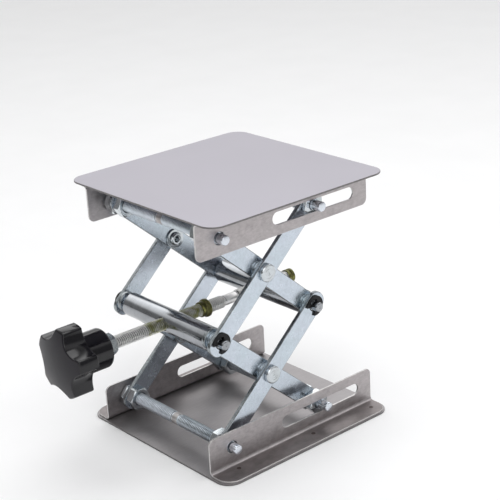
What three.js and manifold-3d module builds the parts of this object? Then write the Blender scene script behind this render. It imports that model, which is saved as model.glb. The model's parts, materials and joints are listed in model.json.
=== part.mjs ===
// Laboratory scissor jack, about 102 x 102 mm plates, drawn at a working height of 119 mm.
// Millimetres, +Z up. The origin is the middle of the underside of the base plate.
// -Y is the knob side, +X is the right-hand side as seen from the knob.

import * as THREE from 'three';
import { mergeVertices } from 'three/addons/utils/BufferGeometryUtils.js';
import Module from 'manifold-3d';

const wasm = await Module();
wasm.setup();

// ---------- driving dimensions ----------

// Plates and their folded side brackets
const PLATE_SIDE = 102;
const PLATE_CORNER = 7.5;
const SHEET = 0.8;
const BRACKET_LENGTH = 100;
const BRACKET_HEIGHT = 18.3;
const BRACKET_CORNER = 3;
const WALL_OUTER_X = 38.5;
const BASE_FOOT_OUTER_X = 50.5;
const TOP_FOOT_OUTER_X = 47;
const BEND_RADIUS = 1.6;

// Scissor linkage
const ARM_PITCH = 74;
const ARM_ANGLE = THREE.MathUtils.degToRad(41.5);
const ARM_WIDTH = 9.4;
const ARM_THICKNESS = 2;
const ARM_END = 6.5;
const ARM_CORNER = 4.2;
const PIVOT_FROM_PLATE = 10.6;
const FRONT_PIVOT_Y = -37;
const INNER_ARM_X = 29.5;
const OUTER_ARM_X = 33;
const GAP = 0.1;

// Guide slots for the two rear rods
const SLOT_HEIGHT = 5.8;
const SLOT_FRONT_Y = -7.2;
const SLOT_REAR_Y = 41.5;

// Rods, nuts, rivets and washers
const ROD_RADIUS = 2.9;
const ROD_JOURNAL_RADIUS = 2.45;
const ROD_TIP_RADIUS = 2.25;
const ROD_HALF_LENGTH = 42.8;
const ROD_TIP_LENGTH = 5.4;
const PIVOT_HOLE_RADIUS = 2.6;
const WALL_HOLE_RADIUS = 3;
const NUT_ACROSS_FLATS = 10;
const NUT_BORE_CLEARANCE = 0.15;
const NUT_THICKNESS = 4.5;
const THIN_NUT_THICKNESS = 2.2;
const NUT_WALL_CLEARANCE = 1;
const WASHER_RADIUS = 4.75;
const RIVET_WASHER_THICKNESS = 0.8;
const RIVET_HEAD_RADIUS = 4.1;
const RIVET_HEAD_THICKNESS = 1.9;
const RIVET_SHANK_RADIUS = 2.45;
const RIVET_ROLL_RADIUS = 3.3;
const RIVET_ROLL_THICKNESS = 1.2;
const RIVET_BORE_RADIUS = 1.3;
const RIVET_BORE_DEPTH = 3;
const RIVET_ROLL_ROUNDING = 0.6;
const SMALL_CHAMFER = 0.4;

// Cross shafts and their retaining clips
const SHAFT_RADIUS = 5.5;
const SHAFT_HALF_LENGTH = 29.4;
const SHAFT_CHAMFER = 0.5;
const JOURNAL_RADIUS = 2.45;
const JOURNAL_TIP_RADIUS = 2.25;
const JOURNAL_END_X = 38.9;
const GROOVE_RADIUS = 1.9;
const CLIP_RADIUS = 4.8;
const CLIP_RECESS_RADIUS = 3.1;
const CLIP_THICKNESS = 0.8;
const CLIP_CLEARANCE = 0.05;
const CLIP_MOUTH_HALF_ANGLE = 40;
const CLIP_PRONG_ANGLE = 22;
const CLIP_RECESS_EASE = 4;
const CLIP_OPENING_ANGLE = THREE.MathUtils.degToRad(-140);
const SCREW_HOLE_RADIUS = 3.25;

// Lift screw, its stops and the knob, as distances along Y
const SCREW_RADIUS = 2.95;
const SCREW_CORE_RADIUS = 2.45;
const SCREW_FRONT_Y = -88;
const SCREW_REAR_Y = 37;
const SCREW_PLAIN_FRONT_Y = -5.7;
const SCREW_PLAIN_REAR_Y = 1;
const SCREW_NUT_ACROSS_FLATS = 9;
const SCREW_NUT_ANGLE = THREE.MathUtils.degToRad(15);
const SCREW_NUT_FRONT_Y = -74.1;
const SCREW_NUT_REAR_Y = -69.2;
const COLLAR_LENGTH = 4.8;
const COLLAR_HUB_RADIUS = 3.6;
const COLLAR_HUB_LENGTH = 2.4;
const COLLAR_FLANGE_RADIUS = 4.3;
const COLLAR_FRONT_Y = -20.4;
const END_STOP_RADIUS = 3.4;
const END_STOP_FRONT_Y = 32.8;
const END_STOP_REAR_Y = 36.4;
const KNOB_FACE_Y = -99.1;
const KNOB_FACE_RADIUS = 52;
const KNOB_STAR_REAR_Y = -87;
const KNOB_HUB_REAR_Y = -74.2;
const KNOB_LOBES = 5;
const KNOB_LOBE_ANGLE = THREE.MathUtils.degToRad(10);
const KNOB_TIP_RADIUS = 15.9;
const KNOB_TIP_HALF_WIDTH = 2.9;
const KNOB_VALLEY_RADIUS = 8.7;
const KNOB_HUB_RADIUS = 9;
const KNOB_EDGE = 0.8;
const KNOB_HUB_OVERLAP = 2;
const KNOB_BORE_OVERRUN = 1;
const KNOB_BORE_CLEARANCE = 0.25;

// Roundness of the facets
const ROUND_STEPS = 12;
const SHAFT_STEPS = 20;
const HOLE_STEPS = 24;
const CORNER_STEPS = 4;
const CLIP_STEPS = 3;
const LOBE_STEPS = 6;
const DOME_STEPS = 4;
const MERGE_DISTANCE = 1e-4;

// ---------- places worked out from them ----------

const armRun = ARM_PITCH * Math.cos(ARM_ANGLE);
const armRise = ARM_PITCH * Math.sin(ARM_ANGLE);
const baseZ = PIVOT_FROM_PLATE;
const middleZ = baseZ + armRise;
const topPivotZ = baseZ + 2 * armRise;
const jackHeight = topPivotZ + PIVOT_FROM_PLATE;
const frontY = FRONT_PIVOT_Y;
const rearY = FRONT_PIVOT_Y + armRun;
const centreY = FRONT_PIVOT_Y + armRun / 2;
const innerArmOuterX = INNER_ARM_X + ARM_THICKNESS;
const outerArmOuterX = OUTER_ARM_X + ARM_THICKNESS;
const clipX = outerArmOuterX + GAP;
const wallInnerX = WALL_OUTER_X - SHEET;

// ---------- materials ----------

function metal(color, roughness) {
  return new THREE.MeshStandardMaterial({ color, roughness, metalness: 1 });
}

const platformFinish = metal(0xc4c0c9, 0.4);
const baseFinish = metal(0x8f8886, 0.42);
const bracketFinish = metal(0xa9a19d, 0.45);
const armFinish = metal(0xc7d2dd, 0.38);
const shaftFinish = metal(0xd4d7dc, 0.15);
const rodFinish = metal(0xbcc3c8, 0.3);
const screwFinish = metal(0xb8b6ac, 0.3);
const yellowZincFinish = metal(0x8f8a4a, 0.35);
const clipFinish = metal(0x17171a, 0.5);
const knobFinish = new THREE.MeshStandardMaterial({ color: 0x1c1b1e, roughness: 0.35, metalness: 0 });

// ---------- helpers ----------

const jack = new THREE.Group();
const sides = [
  { name: 'left', sign: -1 },
  { name: 'right', sign: 1 },
];

function addMesh(name, geometry, material) {
  const mesh = new THREE.Mesh(geometry, material);
  mesh.name = name;
  jack.add(mesh);
  return mesh;
}

function toSolid(geometry) {
  const bare = geometry.clone();
  bare.deleteAttribute('normal');
  bare.deleteAttribute('uv');
  const merged = mergeVertices(bare, MERGE_DISTANCE);
  return new wasm.Manifold(new wasm.Mesh({
    numProp: 3,
    vertProperties: new Float32Array(merged.attributes.position.array),
    triVerts: new Uint32Array(merged.index.array),
  }));
}

function toGeometry(solid) {
  const { vertProperties, triVerts } = solid.getMesh();
  const geometry = new THREE.BufferGeometry();
  geometry.setAttribute('position', new THREE.BufferAttribute(vertProperties, 3));
  geometry.setIndex(new THREE.BufferAttribute(triVerts, 1));
  geometry.computeVertexNormals();
  return geometry;
}

// A rectangle with rounded corners, centred on the origin.
function roundedRectangle(width, height, radius) {
  const right = width / 2 - radius;
  const left = -right;
  const top = height / 2 - radius;
  const bottom = -top;
  const quarter = Math.PI / 2;
  const shape = new THREE.Shape();
  shape.absarc(right, bottom, radius, -quarter, 0);
  shape.absarc(right, top, radius, 0, quarter);
  shape.absarc(left, top, radius, quarter, 2 * quarter);
  shape.absarc(left, bottom, radius, 2 * quarter, 3 * quarter);
  return shape;
}

// The corners of a regular polygon, used for round outlines and for hexagons.
function polygon(radius, steps = ROUND_STEPS, x = 0, y = 0) {
  const points = [];
  for (let i = 0; i < steps; i += 1) {
    const angle = (2 * Math.PI * i) / steps;
    points.push(new THREE.Vector2(x + radius * Math.cos(angle), y + radius * Math.sin(angle)));
  }
  return points;
}

function extrude(shape, depth, curveSegments = CORNER_STEPS) {
  return new THREE.ExtrudeGeometry(shape, { depth, bevelEnabled: false, curveSegments });
}

// Turns a shape drawn in (Y, Z) and extruded from 0 so that it runs along X from startX.
function alongX(geometry, startX) {
  const turn = new THREE.Matrix4().makeBasis(
    new THREE.Vector3(0, 1, 0),
    new THREE.Vector3(0, 0, 1),
    new THREE.Vector3(1, 0, 0),
  );
  return geometry.applyMatrix4(turn).translate(startX, 0, 0);
}

// Turns a shape drawn in (X, Z) and extruded from 0 so that it runs along Y and ends at endY.
function alongY(geometry, endY) {
  return geometry.rotateX(Math.PI / 2).translate(0, endY, 0);
}

// A turned piece about X: the profile lists (distance along X, radius).
function turnedAboutX(profile, steps = ROUND_STEPS) {
  const points = profile.map(([x, radius]) => new THREE.Vector2(radius, x));
  return new THREE.LatheGeometry(points, steps).rotateZ(-Math.PI / 2);
}

// A turned piece about Y: the profile lists (distance along Y, radius).
function turnedAboutY(profile, steps = ROUND_STEPS) {
  const points = profile.map(([y, radius]) => new THREE.Vector2(radius, y));
  return new THREE.LatheGeometry(points, steps);
}

// The mirror image of a solid across the plane through the origin with this normal.
function mirrored(geometry, normal) {
  return toGeometry(toSolid(geometry).mirror(normal));
}

// Adds a right-hand piece and its mirror image, placed at one point of the YZ plane.
function addPair(name, geometry, material, y = 0, z = 0) {
  for (const side of sides) {
    const own = side.sign > 0 ? geometry : mirrored(geometry, [1, 0, 0]);
    addMesh(`${name}_${side.name}`, own, material).position.set(0, y, z);
  }
}

// ---------- plates and brackets ----------

function plateGeometry() {
  return extrude(roundedRectangle(PLATE_SIDE, PLATE_SIDE, PLATE_CORNER), SHEET, 2 * CORNER_STEPS);
}

// The L section of a bracket in (X, Z), with a rounded fold between foot and wall.
function bracketSection(footOuterX) {
  const quarter = Math.PI / 2;
  const foldX = WALL_OUTER_X + BEND_RADIUS;
  const foldZ = 2 * SHEET + BEND_RADIUS;
  const shape = new THREE.Shape();
  shape.moveTo(footOuterX, SHEET);
  shape.lineTo(footOuterX, 2 * SHEET);
  shape.absarc(foldX, foldZ, BEND_RADIUS, -quarter, -2 * quarter, true);
  shape.lineTo(WALL_OUTER_X, BRACKET_HEIGHT);
  shape.lineTo(wallInnerX, BRACKET_HEIGHT);
  shape.absarc(foldX, foldZ, BEND_RADIUS + SHEET, -2 * quarter, -quarter, false);
  return shape;
}

// The guide slot in (Y, Z), with full round ends.
function slotShape() {
  const quarter = Math.PI / 2;
  const radius = SLOT_HEIGHT / 2;
  const shape = new THREE.Shape();
  shape.absarc(SLOT_REAR_Y - radius, PIVOT_FROM_PLATE, radius, -quarter, quarter);
  shape.absarc(SLOT_FRONT_Y + radius, PIVOT_FROM_PLATE, radius, quarter, 3 * quarter);
  return shape;
}

// The right-hand bracket of the base, or of the platform turned over, by its foot's outer edge.
function bracketGeometry(footOuterX) {
  const bar = alongY(extrude(bracketSection(footOuterX), BRACKET_LENGTH), BRACKET_LENGTH / 2);
  const sideView = roundedRectangle(BRACKET_LENGTH, 2 * BRACKET_HEIGHT, BRACKET_CORNER);
  const planView = roundedRectangle(2 * footOuterX, 2 * BASE_FOOT_OUTER_X, PLATE_CORNER);
  const hole = new THREE.Shape(polygon(WALL_HOLE_RADIUS, HOLE_STEPS, frontY, PIVOT_FROM_PLATE));
  const reach = footOuterX + SHEET;
  const solid = toSolid(bar)
    .intersect(toSolid(alongX(extrude(sideView, reach), 0)))
    .intersect(toSolid(extrude(planView, 2 * BRACKET_HEIGHT)))
    .subtract(toSolid(alongX(extrude(slotShape(), reach, HOLE_STEPS / 2), 0)))
    .subtract(toSolid(alongX(extrude(hole, reach), 0)));
  return toGeometry(solid);
}

function addPlates() {
  addMesh('base_plate', plateGeometry(), baseFinish);
  addMesh('top_plate', plateGeometry(), platformFinish).position.z = jackHeight - SHEET;
  addPair('base_bracket', bracketGeometry(BASE_FOOT_OUTER_X), bracketFinish);
  const turnedOver = mirrored(bracketGeometry(TOP_FOOT_OUTER_X), [0, 0, 1]);
  addPair('top_bracket', turnedOver, bracketFinish, 0, jackHeight);
}

// ---------- scissor arms ----------

function armGeometry(startX) {
  const shape = roundedRectangle(ARM_PITCH + 2 * ARM_END, ARM_WIDTH, ARM_CORNER);
  for (const along of [-ARM_PITCH / 2, 0, ARM_PITCH / 2]) {
    shape.holes.push(new THREE.Path(polygon(PIVOT_HOLE_RADIUS, ROUND_STEPS, along)));
  }
  return alongX(extrude(shape, ARM_THICKNESS), startX);
}

function addArmPair(name, startX, angle, z) {
  const tilted = armGeometry(startX).rotateX(angle);
  addPair(name, tilted, armFinish, centreY, z);
}

function addArms() {
  const lowerZ = baseZ + armRise / 2;
  const upperZ = middleZ + armRise / 2;
  addArmPair('lower_outer_arm', OUTER_ARM_X, ARM_ANGLE, lowerZ);
  addArmPair('lower_inner_arm', INNER_ARM_X, -ARM_ANGLE, lowerZ);
  addArmPair('upper_outer_arm', OUTER_ARM_X, ARM_ANGLE, upperZ);
  addArmPair('upper_inner_arm', INNER_ARM_X, -ARM_ANGLE, upperZ);
  addRivets('lower', lowerZ);
  addRivets('upper', upperZ);
}

// ---------- rivets and washers ----------

function washerGeometry(startX, thickness) {
  const disc = new THREE.Shape(polygon(WASHER_RADIUS));
  disc.holes.push(new THREE.Path(polygon(PIVOT_HOLE_RADIUS)));
  return alongX(extrude(disc, thickness), startX);
}

function spacerGeometry() {
  const startX = innerArmOuterX + GAP;
  return washerGeometry(startX, OUTER_ARM_X - GAP - startX);
}

// A semi-tubular rivet: flat head outside, rolled end inside with its bore.
function rivetGeometry() {
  const headX = outerArmOuterX + GAP;
  const washerX = INNER_ARM_X - GAP - RIVET_WASHER_THICKNESS;
  const rollX = washerX - GAP - RIVET_ROLL_THICKNESS;
  return turnedAboutX([
    [rollX + RIVET_BORE_DEPTH, 0],
    [rollX + RIVET_BORE_DEPTH, RIVET_BORE_RADIUS],
    [rollX, RIVET_BORE_RADIUS],
    [rollX, RIVET_ROLL_RADIUS - RIVET_ROLL_ROUNDING],
    [rollX + RIVET_ROLL_ROUNDING, RIVET_ROLL_RADIUS],
    [washerX - GAP, RIVET_ROLL_RADIUS],
    [washerX - GAP, RIVET_SHANK_RADIUS],
    [headX, RIVET_SHANK_RADIUS],
    [headX, RIVET_HEAD_RADIUS],
    [headX + RIVET_HEAD_THICKNESS - SMALL_CHAMFER, RIVET_HEAD_RADIUS],
    [headX + RIVET_HEAD_THICKNESS, RIVET_HEAD_RADIUS - SMALL_CHAMFER],
    [headX + RIVET_HEAD_THICKNESS, 0],
  ]);
}

function addRivets(level, z) {
  const washerX = INNER_ARM_X - GAP - RIVET_WASHER_THICKNESS;
  addPair(`${level}_rivet`, rivetGeometry(), armFinish, centreY, z);
  addPair(`${level}_rivet_spacer`, spacerGeometry(), armFinish, centreY, z);
  const washer = washerGeometry(washerX, RIVET_WASHER_THICKNESS);
  addPair(`${level}_rivet_washer`, washer, armFinish, centreY, z);
}

// ---------- rods and nuts ----------

// A rod whose journals, from this distance outward, are thinner to pass the arms and the walls.
function rodGeometry(journalX) {
  const tipX = ROD_HALF_LENGTH;
  const shoulderX = ROD_HALF_LENGTH - ROD_TIP_LENGTH;
  const half = [
    [journalX, ROD_RADIUS],
    [journalX, ROD_JOURNAL_RADIUS],
    [shoulderX, ROD_JOURNAL_RADIUS],
    [shoulderX, ROD_TIP_RADIUS],
    [tipX - SMALL_CHAMFER, ROD_TIP_RADIUS],
    [tipX, ROD_TIP_RADIUS - SMALL_CHAMFER],
    [tipX, 0],
  ];
  const otherHalf = half.map(([x, radius]) => [-x, radius]).reverse();
  return turnedAboutX([...otherHalf, ...half]);
}

function hexagon(acrossFlats) {
  return new THREE.Shape(polygon(acrossFlats / Math.sqrt(3), 6));
}

function nutGeometry(startX, thickness, rodRadius) {
  const shape = hexagon(NUT_ACROSS_FLATS);
  shape.holes.push(new THREE.Path(polygon(rodRadius + NUT_BORE_CLEARANCE)));
  return alongX(extrude(shape, thickness), startX);
}

// A rod carrying an arm pair: one nut on each face of each arm, thin where the bracket wall is close.
function addRod(name, armX, y, z) {
  const outerNutX = armX + ARM_THICKNESS + GAP;
  const room = wallInnerX - outerNutX;
  const hasRoom = room > NUT_THICKNESS + NUT_WALL_CLEARANCE;
  const outerThickness = hasRoom ? NUT_THICKNESS : THIN_NUT_THICKNESS;
  const journalX = armX - GAP;
  addMesh(`${name}_rod`, rodGeometry(journalX), rodFinish).position.set(0, y, z);
  const innerNut = nutGeometry(journalX - NUT_THICKNESS, NUT_THICKNESS, ROD_RADIUS);
  addPair(`${name}_inner_nut`, innerNut, rodFinish, y, z);
  const outerNut = nutGeometry(outerNutX, outerThickness, ROD_JOURNAL_RADIUS);
  addPair(`${name}_outer_nut`, outerNut, rodFinish, y, z);
}

function addRods() {
  addRod('base_front', OUTER_ARM_X, frontY, baseZ);
  addRod('base_rear', INNER_ARM_X, rearY, baseZ);
  addRod('top_front', INNER_ARM_X, frontY, topPivotZ);
  addRod('top_rear', OUTER_ARM_X, rearY, topPivotZ);
}

// ---------- cross shafts ----------

function shaftGeometry() {
  const grooveStart = clipX - CLIP_CLEARANCE;
  const grooveEnd = clipX + CLIP_THICKNESS + CLIP_CLEARANCE;
  const half = [
    [SHAFT_HALF_LENGTH - SHAFT_CHAMFER, SHAFT_RADIUS],
    [SHAFT_HALF_LENGTH, SHAFT_RADIUS - SHAFT_CHAMFER],
    [SHAFT_HALF_LENGTH, JOURNAL_RADIUS],
    [grooveStart, JOURNAL_RADIUS],
    [grooveStart, GROOVE_RADIUS],
    [grooveEnd, GROOVE_RADIUS],
    [grooveEnd, JOURNAL_TIP_RADIUS],
    [JOURNAL_END_X - SMALL_CHAMFER, JOURNAL_TIP_RADIUS],
    [JOURNAL_END_X, JOURNAL_TIP_RADIUS - SMALL_CHAMFER],
    [JOURNAL_END_X, 0],
  ];
  const otherHalf = half.map(([x, radius]) => [-x, radius]).reverse();
  const bar = turnedAboutX([...otherHalf, ...half], SHAFT_STEPS);
  const drill = new THREE.CylinderGeometry(
    SCREW_HOLE_RADIUS, SCREW_HOLE_RADIUS, 4 * SHAFT_RADIUS, SHAFT_STEPS,
  );
  return toGeometry(toSolid(bar).subtract(toSolid(drill)));
}

// An E-clip in its groove: three prongs grip the neck, and wider recesses part them.
function clipGeometry() {
  const rad = THREE.MathUtils.degToRad;
  const gripRadius = GROOVE_RADIUS + GAP;
  const mouthStart = CLIP_MOUTH_HALF_ANGLE;
  const mouthEnd = 360 - CLIP_MOUTH_HALF_ANGLE;
  const recesses = [
    [180 + CLIP_PRONG_ANGLE, mouthEnd - CLIP_PRONG_ANGLE],
    [mouthStart + CLIP_PRONG_ANGLE, 180 - CLIP_PRONG_ANGLE],
  ];
  const shape = new THREE.Shape();
  shape.absarc(0, 0, CLIP_RADIUS, rad(mouthStart), rad(mouthEnd), false);
  let prongEnd = mouthEnd;
  for (const [start, end] of recesses) {
    const recessEnd = end - CLIP_RECESS_EASE;
    const recessStart = start + CLIP_RECESS_EASE;
    shape.absarc(0, 0, gripRadius, rad(prongEnd), rad(end), true);
    shape.absarc(0, 0, CLIP_RECESS_RADIUS, rad(recessEnd), rad(recessStart), true);
    prongEnd = start;
  }
  shape.absarc(0, 0, gripRadius, rad(prongEnd), rad(mouthStart), true);
  const flat = extrude(shape, CLIP_THICKNESS, CLIP_STEPS);
  return alongX(flat.rotateZ(CLIP_OPENING_ANGLE), clipX);
}

function addShaft(name, y) {
  addMesh(`${name}_cross_shaft`, shaftGeometry(), shaftFinish).position.set(0, y, middleZ);
  addPair(`${name}_shaft_spacer`, spacerGeometry(), armFinish, y, middleZ);
  addPair(`${name}_shaft_clip`, clipGeometry(), clipFinish, y, middleZ);
}

// ---------- lift screw and knob ----------

// The screw with the hexagon nut that is locked against the knob's hub.
function screwGeometry() {
  const shank = turnedAboutY([
    [SCREW_FRONT_Y, 0],
    [SCREW_FRONT_Y, SCREW_CORE_RADIUS],
    [SCREW_NUT_FRONT_Y, SCREW_CORE_RADIUS],
    [SCREW_NUT_FRONT_Y, SCREW_RADIUS],
    [SCREW_PLAIN_FRONT_Y, SCREW_RADIUS],
    [SCREW_PLAIN_FRONT_Y, SCREW_CORE_RADIUS],
    [SCREW_PLAIN_REAR_Y, SCREW_CORE_RADIUS],
    [SCREW_PLAIN_REAR_Y, SCREW_RADIUS],
    [SCREW_REAR_Y - SHAFT_CHAMFER, SCREW_RADIUS],
    [SCREW_REAR_Y, SCREW_CORE_RADIUS],
    [SCREW_REAR_Y, 0],
  ], SHAFT_STEPS);
  const nut = extrude(hexagon(SCREW_NUT_ACROSS_FLATS), SCREW_NUT_REAR_Y - SCREW_NUT_FRONT_Y);
  const turnedNut = alongY(nut, SCREW_NUT_REAR_Y).rotateY(SCREW_NUT_ANGLE);
  return toGeometry(toSolid(shank).add(toSolid(turnedNut)));
}

// The stop collar, drawn from its front face: a short hub with a flange behind it.
function collarGeometry() {
  const bore = SCREW_RADIUS + GAP;
  const flangeStart = COLLAR_HUB_LENGTH + COLLAR_FLANGE_RADIUS - COLLAR_HUB_RADIUS;
  return turnedAboutY([
    [0, bore],
    [0, COLLAR_HUB_RADIUS - SMALL_CHAMFER],
    [SMALL_CHAMFER, COLLAR_HUB_RADIUS],
    [COLLAR_HUB_LENGTH, COLLAR_HUB_RADIUS],
    [flangeStart, COLLAR_FLANGE_RADIUS],
    [COLLAR_LENGTH - SMALL_CHAMFER, COLLAR_FLANGE_RADIUS],
    [COLLAR_LENGTH, COLLAR_FLANGE_RADIUS - SMALL_CHAMFER],
    [COLLAR_LENGTH, bore],
    [0, bore],
  ], SHAFT_STEPS);
}

// The ring fixed near the screw's rear end.
function endStopGeometry() {
  const bore = SCREW_RADIUS + GAP;
  return turnedAboutY([
    [END_STOP_FRONT_Y, bore],
    [END_STOP_FRONT_Y, END_STOP_RADIUS],
    [END_STOP_REAR_Y, END_STOP_RADIUS],
    [END_STOP_REAR_Y, bore],
    [END_STOP_FRONT_Y, bore],
  ], SHAFT_STEPS);
}

// The lobed outline of the knob in (X, Z): blunt tips joined by rounded valleys.
function knobOutline() {
  const tipAngle = Math.asin(KNOB_TIP_HALF_WIDTH / KNOB_TIP_RADIUS);
  const pitch = (2 * Math.PI) / KNOB_LOBES;
  const at = (radius, angle) => new THREE.Vector2(radius * Math.cos(angle), radius * Math.sin(angle));
  const shape = new THREE.Shape();
  for (let i = 0; i < KNOB_LOBES; i += 1) {
    const angle = KNOB_LOBE_ANGLE + i * pitch;
    shape.absarc(0, 0, KNOB_TIP_RADIUS, angle - tipAngle, angle + tipAngle, false);
    const valley = at(KNOB_VALLEY_RADIUS, angle + pitch / 2);
    const next = at(KNOB_TIP_RADIUS, angle + pitch - tipAngle);
    shape.quadraticCurveTo(valley.x, valley.y, next.x, next.y);
  }
  return shape;
}

// A round blank whose front face is a shallow dome.
function domedBlank() {
  const profile = [[KNOB_FACE_Y, 0]];
  for (let i = 1; i <= DOME_STEPS; i += 1) {
    const radius = (KNOB_TIP_RADIUS + KNOB_EDGE) * (i / DOME_STEPS);
    const sag = KNOB_FACE_RADIUS - Math.sqrt(KNOB_FACE_RADIUS ** 2 - radius ** 2);
    profile.push([KNOB_FACE_Y + sag, radius]);
  }
  profile.push([KNOB_STAR_REAR_Y, KNOB_TIP_RADIUS + KNOB_EDGE]);
  profile.push([KNOB_STAR_REAR_Y, 0]);
  return turnedAboutY(profile, SHAFT_STEPS);
}

function knobGeometry() {
  const star = new THREE.ExtrudeGeometry(knobOutline(), {
    depth: KNOB_STAR_REAR_Y - KNOB_FACE_Y - 2 * KNOB_EDGE,
    bevelEnabled: true,
    bevelThickness: KNOB_EDGE,
    bevelSize: KNOB_EDGE,
    bevelOffset: -KNOB_EDGE,
    bevelSegments: 1,
    curveSegments: LOBE_STEPS,
  });
  const hub = turnedAboutY([
    [KNOB_STAR_REAR_Y - KNOB_HUB_OVERLAP, 0],
    [KNOB_STAR_REAR_Y - KNOB_HUB_OVERLAP, KNOB_HUB_RADIUS],
    [KNOB_HUB_REAR_Y - KNOB_EDGE, KNOB_HUB_RADIUS],
    [KNOB_HUB_REAR_Y, KNOB_HUB_RADIUS - KNOB_EDGE],
    [KNOB_HUB_REAR_Y, 0],
  ], SHAFT_STEPS);
  const boreRadius = SCREW_CORE_RADIUS + KNOB_BORE_CLEARANCE;
  const boreStart = SCREW_FRONT_Y - KNOB_BORE_CLEARANCE;
  const bore = turnedAboutY([
    [boreStart, 0],
    [boreStart, boreRadius],
    [KNOB_HUB_REAR_Y + KNOB_BORE_OVERRUN, boreRadius],
    [KNOB_HUB_REAR_Y + KNOB_BORE_OVERRUN, 0],
  ]);
  const solid = toSolid(alongY(star, KNOB_STAR_REAR_Y - KNOB_EDGE))
    .intersect(toSolid(domedBlank()))
    .add(toSolid(hub))
    .subtract(toSolid(bore));
  return toGeometry(solid);
}

function addScrew() {
  addMesh('lift_screw', screwGeometry(), screwFinish).position.z = middleZ;
  const collar = collarGeometry().translate(0, COLLAR_FRONT_Y, 0);
  addMesh('stop_collar', collar, yellowZincFinish).position.z = middleZ;
  addMesh('screw_end_stop', endStopGeometry(), yellowZincFinish).position.z = middleZ;
  addMesh('knob', knobGeometry(), knobFinish).position.z = middleZ;
}

addPlates();
addArms();
addRods();
addShaft('front', frontY);
addShaft('rear', rearY);
addScrew();

export default jack;
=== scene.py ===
"""Looks for a laboratory scissor jack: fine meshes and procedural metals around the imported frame.

Lengths in this script are millimetres and become metres when a mesh is made.
-Y is the knob side, +X the right-hand side as seen from the knob, +Z is up.
"""
import json
import math

import bmesh
import bpy
from mathutils import Matrix, Vector
from mathutils.geometry import tessellate_polygon


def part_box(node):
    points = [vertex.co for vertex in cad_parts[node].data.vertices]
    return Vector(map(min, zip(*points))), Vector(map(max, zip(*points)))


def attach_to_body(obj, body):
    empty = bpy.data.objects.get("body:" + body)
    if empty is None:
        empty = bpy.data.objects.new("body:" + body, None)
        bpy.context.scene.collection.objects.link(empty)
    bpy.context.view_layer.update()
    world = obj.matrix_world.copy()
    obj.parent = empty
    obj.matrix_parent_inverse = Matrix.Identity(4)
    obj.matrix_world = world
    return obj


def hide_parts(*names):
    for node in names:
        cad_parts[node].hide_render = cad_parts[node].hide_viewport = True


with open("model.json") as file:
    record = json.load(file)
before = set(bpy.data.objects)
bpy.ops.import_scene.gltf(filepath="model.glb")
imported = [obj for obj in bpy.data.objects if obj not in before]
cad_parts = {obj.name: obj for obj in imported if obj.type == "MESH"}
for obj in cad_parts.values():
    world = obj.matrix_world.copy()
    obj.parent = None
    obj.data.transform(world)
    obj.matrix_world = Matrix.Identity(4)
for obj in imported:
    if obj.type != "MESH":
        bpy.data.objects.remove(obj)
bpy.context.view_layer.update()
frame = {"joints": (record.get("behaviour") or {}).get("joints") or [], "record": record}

# ---------- driving values ----------

MM = 0.001
TURN = 2 * math.pi
QUARTER = math.pi / 2
SIDES = {"left": -1, "right": 1}

SHEET = 0.8
SHEET_EDGE = 0.14
SHEET_EDGE_STEPS = 3
PLATE_CORNER = 7.5
BEND_RADIUS = 1.6
BEND_STEPS = 10
BEND_LENGTH = (BEND_RADIUS + SHEET / 2) * QUARTER
WALL_OUTER_X = 38.5
BRACKET_CORNER = 3.0
FOOT_CORNER = 7.0
SLOT_HEIGHT = 5.8
SLOT_FRONT_Y = -7.2
SLOT_REAR_Y = 41.5
WALL_HOLE_RADIUS = 3.0
WELDS = ((42.5, -37.3), (43.3, 7.3), (44.6, 44.0))
WELD_RADIUS = 1.0
WELD_STEPS = 28

ARM_WIDTH = 9.4
ARM_END = 6.5
ARM_CORNER = 4.2
ARM_EDGE = 0.28
PIVOT_HOLE_RADIUS = 2.6

ROD_RADIUS = 2.9
ROD_CORE_RADIUS = 2.5
ROD_JOURNAL_RADIUS = 2.45
ROD_TIP_RADIUS = 2.25
ROD_TIP_LENGTH = 5.4
ROD_PITCH = 1.0
ROD_PLAIN_HALF = 1.7
NUT_ACROSS_FLATS = 10.0
NUT_BORE_CLEARANCE = 0.15
NUT_FACE_SHARE = 0.95
NUT_CHAMFER_SLOPE = math.tan(math.radians(30))
NUT_STEPS = 72
NUT_LEAD = 0.3
NUT_BEVEL = 0.12
NUT_SHARP_ANGLE = math.radians(25)

# One turn of a thread: how far along the pitch each corner is, and its height from root to crest.
THREAD_FORM = ((0.0, 0.0), (0.24, 1.0), (0.44, 1.0), (0.66, 0.0))

WASHER_RADIUS = 4.75
RIVET_HEAD_RADIUS = 4.1
RIVET_SHANK_RADIUS = 2.45
RIVET_ROLL_RADIUS = 3.3
RIVET_BORE_RADIUS = 1.3
RIVET_BORE_DEPTH = 3.0

SHAFT_RADIUS = 5.5
SHAFT_HALF_LENGTH = 29.4
SHAFT_CHAMFER = 0.6
JOURNAL_RADIUS = 2.45
JOURNAL_TIP_RADIUS = 2.25
GROOVE_RADIUS = 1.9
SCREW_HOLE_RADIUS = 3.25
SCREW_HOLE_FLARE = 0.8
CLIP_RADIUS = 4.8
CLIP_EDGE = 0.1
CLIP_RECESS_RADIUS = 3.1
CLIP_OPENING = math.radians(-140)
CLIP_MOUTH = math.radians(40)
CLIP_PRONG = math.radians(22)
CLIP_EASE = math.radians(5)

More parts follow.
